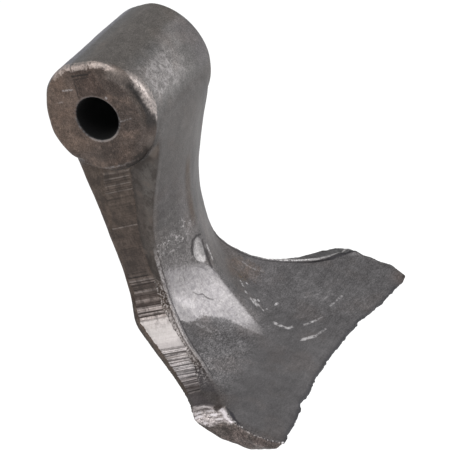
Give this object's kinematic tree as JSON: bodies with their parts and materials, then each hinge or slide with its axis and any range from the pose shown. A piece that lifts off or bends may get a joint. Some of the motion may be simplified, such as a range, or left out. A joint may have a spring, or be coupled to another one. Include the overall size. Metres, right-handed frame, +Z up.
{
  "type": "shredder hammer",
  "caption": "Forged swinging hammer for a farm shredder: a thick eye bored for a pivot bolt, a leaning neck and a wide hollow blade ending in a cutting edge.",
  "frame": {"origin": "middle of the pivot bore, on its axis", "axes": "+X along the pivot bore; +Z up, from the blade towards the eye; -Y towards the hollow front face of the blade"},
  "size_m": [0.1596, 0.0804, 0.1797],
  "materials": {
    "hammer": "as-forged steel, shot-blasted, with a trimmed flash strip"
  },
  "bodies": {
    "root": {"hammer": "hammer"}
  },
  "joints": []
}
